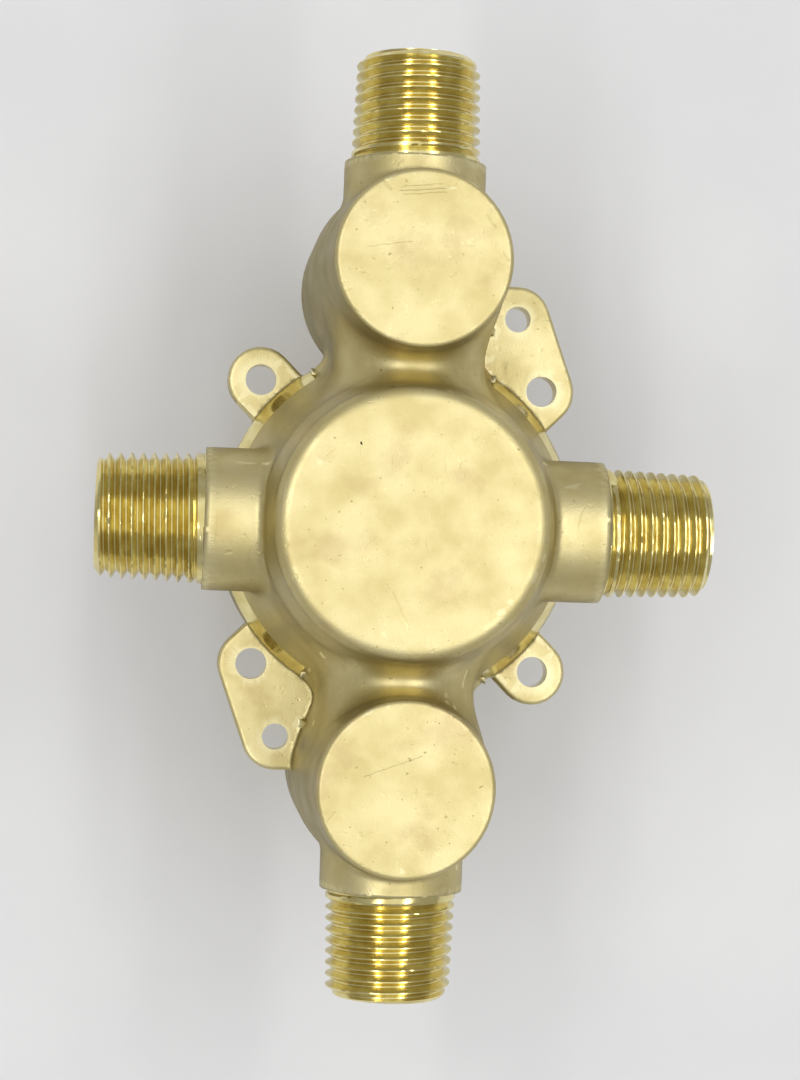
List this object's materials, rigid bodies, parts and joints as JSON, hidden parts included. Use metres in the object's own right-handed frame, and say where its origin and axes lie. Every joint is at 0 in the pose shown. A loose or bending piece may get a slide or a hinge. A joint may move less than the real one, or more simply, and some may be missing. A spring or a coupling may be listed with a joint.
{
  "type": "pressure-balancing shower valve",
  "caption": "Forged brass shower valve body with threaded ports, mounting ears, service stops and a pressure-balancing cartridge.",
  "frame": {"origin": "centre of the four mounting holes, on the back face of the ears", "axes": "+Z out of the valve's back, away from the user; +Y along the hot inlet; +X along the tub outlet"},
  "size_m": [0.1004, 0.154, 0.0815],
  "materials": {
    "forged_brass": "bead-blasted as forged, threads machined",
    "machined_brass": "turned",
    "stainless_steel": "ground",
    "alumina": "lapped",
    "nitrile_rubber": "moulded",
    "white_acetal": "moulded",
    "black_acetal": "moulded",
    "red_acetal": "moulded",
    "red_fibre": "pressed"
  },
  "bodies": {
    "valve": {"valve_body": "forged_brass", "bonnet_nut": "machined_brass", "cartridge_housing": "white_acetal", "cartridge_base": "black_acetal", "housing_oring": "nitrile_rubber", "inlet_seals": "nitrile_rubber", "spool_sleeve": "stainless_steel", "sleeve_orings": "nitrile_rubber", "spool_clips": "stainless_steel", "disc_gasket": "nitrile_rubber", "fixed_disc": "alumina", "thrust_washer": "white_acetal", "limit_ring": "red_acetal", "hot_stop_cap": "machined_brass", "hot_cap_washer": "red_fibre", "cold_stop_cap": "machined_brass", "cold_cap_washer": "red_fibre"},
    "handle_stem": {"stem": "machined_brass", "stem_orings": "nitrile_rubber", "stop_key": "white_acetal", "disc_carrier": "black_acetal", "moving_disc": "alumina"},
    "spool": {"balance_spool": "stainless_steel"},
    "hot_spindle": {"hot_stop_spindle": "machined_brass", "hot_spindle_oring": "nitrile_rubber", "hot_spindle_clip": "stainless_steel"},
    "hot_plunger": {"hot_stop_plunger": "machined_brass", "hot_seat_washer": "nitrile_rubber", "hot_washer_screw": "machined_brass"},
    "cold_spindle": {"cold_stop_spindle": "machined_brass", "cold_spindle_oring": "nitrile_rubber", "cold_spindle_clip": "stainless_steel"},
    "cold_plunger": {"cold_stop_plunger": "machined_brass", "cold_seat_washer": "nitrile_rubber", "cold_washer_screw": "machined_brass"}
  },
  "joints": [
    {"name": "stem_turn", "type": "hinge", "parent": "valve", "child": "handle_stem", "pos_m": [0, 0, -0.02], "axis": [0, 0, -1], "range_deg": [0, 230]},
    {"name": "spool_slide", "type": "slide", "parent": "valve", "child": "spool", "axis": [0, 1, 0], "range_m": [-0.002, 0.002]},
    {"name": "hot_stop_travel", "type": "slide", "parent": "valve", "child": "hot_plunger", "axis": [0, 0, 1], "range_m": [0, 0.0045]},
    {"name": "hot_stop_turn", "type": "hinge", "parent": "valve", "child": "hot_spindle", "pos_m": [0, 0.0417, -0.015], "axis": [0, 0, 1], "range_deg": [0, 1080]},
    {"name": "cold_stop_travel", "type": "slide", "parent": "valve", "child": "cold_plunger", "axis": [0, 0, 1], "range_m": [0, 0.0045]},
    {"name": "cold_stop_turn", "type": "hinge", "parent": "valve", "child": "cold_spindle", "pos_m": [0, -0.0417, -0.015], "axis": [0, 0, 1], "range_deg": [0, 1080]}
  ],
  "couplings": [
    {"joint": "hot_stop_turn", "follows": "hot_stop_travel", "rad_per_m": 4188.8},
    {"joint": "cold_stop_turn", "follows": "cold_stop_travel", "rad_per_m": 4188.8}
  ]
}
